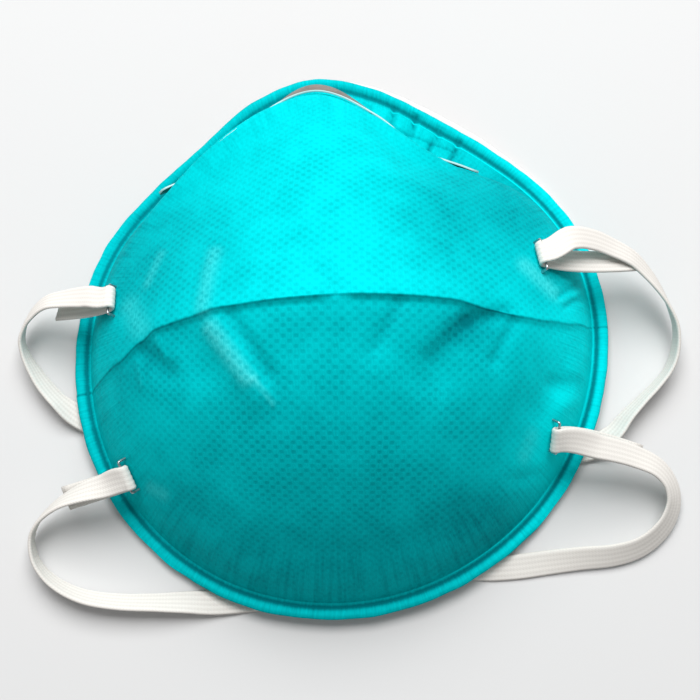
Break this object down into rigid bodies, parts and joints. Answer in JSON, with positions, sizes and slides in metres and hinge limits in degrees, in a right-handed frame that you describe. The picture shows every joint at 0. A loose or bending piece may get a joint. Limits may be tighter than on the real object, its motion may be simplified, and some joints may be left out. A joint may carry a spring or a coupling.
{
  "type": "disposable respirator",
  "caption": "Cup-shaped disposable respirator with a teal cover, white inner layer, aluminium nose clip and stapled elastic head straps, lying on its rim.",
  "frame": {"origin": "centre of the shell's bounding box, at the surface that the rim lies on", "axes": "+Z out of the face opening's plane, up through the dome; +Y towards the nose; +X to the right in the front view"},
  "size_m": [0.1596, 0.1313, 0.052],
  "materials": {
    "cover_cloth": "embossed nonwoven, teal",
    "inner_cloth": "moulded nonwoven, white",
    "clip_metal": "brushed strip",
    "elastic": "ribbed knit elastic, off-white",
    "staple_wire": "bright wire"
  },
  "bodies": {
    "root": {"cover_shell": "cover_cloth", "inner_shell": "inner_cloth", "nose_clip": "clip_metal", "upper_strap": "elastic", "lower_strap": "elastic", "staple_upper_left": "staple_wire", "staple_upper_right": "staple_wire", "staple_lower_left": "staple_wire", "staple_lower_right": "staple_wire"}
  },
  "joints": []
}
